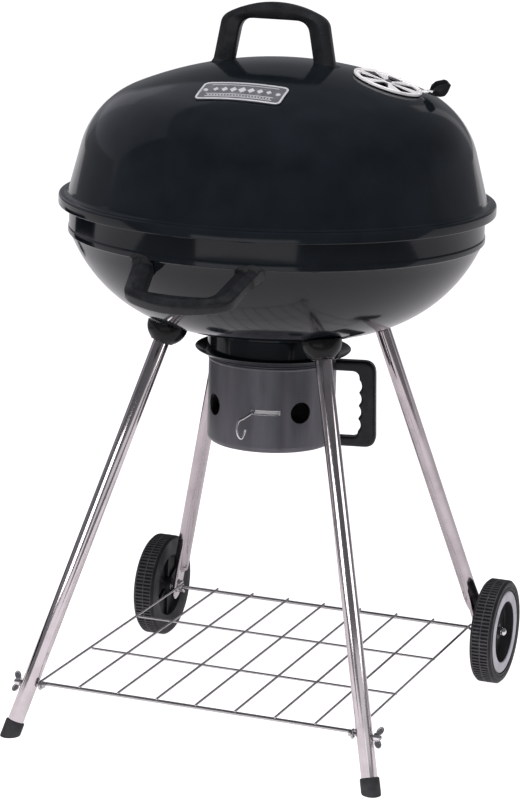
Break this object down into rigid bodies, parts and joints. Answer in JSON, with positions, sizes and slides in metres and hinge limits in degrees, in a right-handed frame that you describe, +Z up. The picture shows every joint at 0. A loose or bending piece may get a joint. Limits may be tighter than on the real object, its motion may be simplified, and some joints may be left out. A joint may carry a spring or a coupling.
{
  "type": "kettle charcoal grill",
  "caption": "Round kettle grill: lift-off domed lid with vent, bowl with grates, hanging ash pot with damper, splayed tube legs, wire rack and wheels at the back.",
  "frame": {"origin": "on the floor, below the middle of the overall box", "axes": "+Z up; -Y towards the cook, the side with the bowl's handle; +X to the right of someone who stands behind the grill's front and looks along +Y"},
  "size_m": [0.6014, 0.678, 0.9985],
  "materials": {
    "enamel": "gloss porcelain enamel, black",
    "pot_enamel": "satin enamel, dark grey",
    "black_plastic": "satin moulded plastic, black",
    "hub_plastic": "gloss moulded plastic, black",
    "foot_plastic": "matte moulded cap, charcoal grey",
    "wheel_plastic": "moulded plastic with ribbed tread, dark grey",
    "polished_tube": "polished plated steel tube",
    "plated_wire": "bright plated wire",
    "coal_wire": "plain steel rod",
    "bright_plate": "bright plated steel",
    "plated_steel": "zinc plated steel",
    "badge_metal": "stamped sheet with a dark field",
    "trim_silver": "satin silver disc"
  },
  "bodies": {
    "stand": {"bowl_shell": "enamel", "ash_collar": "enamel", "bowl_handle": "black_plastic", "leg_hub_front_right": "hub_plastic", "leg_hub_front_left": "hub_plastic", "leg_hub_rear_right": "hub_plastic", "leg_hub_rear_left": "hub_plastic", "foot_cap_right": "foot_plastic", "foot_cap_left": "foot_plastic", "leg_front_right": "polished_tube", "leg_front_left": "polished_tube", "leg_rear_right": "polished_tube", "leg_rear_left": "polished_tube", "wire_rack": "plated_wire", "acorn_nut_right": "bright_plate", "acorn_nut_left": "bright_plate", "wing_nut_right": "bright_plate", "wing_nut_left": "bright_plate", "bowl_handle_bolt_left": "plated_steel", "bowl_handle_bolt_right": "plated_steel", "hub_bolt_front_right": "plated_steel", "hub_bolt_front_left": "plated_steel", "hub_bolt_rear_right": "plated_steel", "hub_bolt_rear_left": "plated_steel", "rack_bolt_right": "plated_steel", "rack_bolt_left": "plated_steel", "axle_bolt_right": "plated_steel", "axle_bolt_left": "plated_steel", "axle_washer_right": "plated_steel", "axle_washer_left": "plated_steel", "grate_tab_1": "plated_steel", "grate_tab_2": "plated_steel", "grate_tab_3": "plated_steel", "grate_tab_4": "plated_steel", "collar_rivet_1": "plated_steel", "collar_rivet_2": "plated_steel", "collar_rivet_3": "plated_steel"},
    "lid": {"lid_shell": "enamel", "lid_handle": "black_plastic", "lid_handle_bolt_left": "plated_steel", "lid_handle_bolt_right": "plated_steel", "nameplate": "badge_metal", "nameplate_rivet_left": "plated_steel", "nameplate_rivet_right": "plated_steel", "vent_rivet": "bright_plate"},
    "lid_vent": {"vent_disc": "bright_plate", "vent_tab": "black_plastic"},
    "upper_grate": {"cooking_grate": "plated_wire"},
    "lower_grate": {"charcoal_grate": "coal_wire"},
    "ash_catcher": {"ash_pot": "pot_enamel", "pot_handle": "black_plastic", "pot_handle_bolt_lower": "plated_steel", "pot_handle_bolt_upper": "plated_steel"},
    "ash_damper": {"damper_ring": "plated_steel", "damper_lever": "plated_wire"},
    "right_wheel": {"wheel_right": "wheel_plastic", "wheel_trim_right": "trim_silver"},
    "left_wheel": {"wheel_left": "wheel_plastic", "wheel_trim_left": "trim_silver"}
  },
  "joints": [
    {"name": "lid_lift", "type": "slide", "parent": "stand", "child": "lid", "axis": [0, 0, 1], "range_m": [0, 0.3]},
    {"name": "lid_vent_turn", "type": "hinge", "parent": "lid", "child": "lid_vent", "pos_m": [0.15079, 0.0204, 0.89953], "axis": [0.2933, 0.0154, 0.9559], "range_deg": [0, 30]},
    {"name": "cooking_grate_lift", "type": "slide", "parent": "stand", "child": "upper_grate", "axis": [0, 0, 1], "range_m": [0, 0.03]},
    {"name": "charcoal_grate_lift", "type": "slide", "parent": "stand", "child": "lower_grate", "axis": [0, 0, 1], "range_m": [0, 0.09]},
    {"name": "ash_pot_drop", "type": "slide", "parent": "stand", "child": "ash_catcher", "axis": [0, 0, -1], "range_m": [0, 0.15]},
    {"name": "ash_damper_turn", "type": "hinge", "parent": "ash_catcher", "child": "ash_damper", "pos_m": [0, 0.01249, 0.4477], "axis": [0, 0, 1], "range_deg": [0, 21]},
    {"name": "right_wheel_spin", "type": "hinge", "parent": "stand", "child": "right_wheel", "pos_m": [0.2655, 0.2628, 0.0762], "axis": [1, 0, 0], "continuous": true},
    {"name": "left_wheel_spin", "type": "hinge", "parent": "stand", "child": "left_wheel", "pos_m": [-0.2655, 0.2628, 0.0762], "axis": [1, 0, 0], "continuous": true}
  ]
}
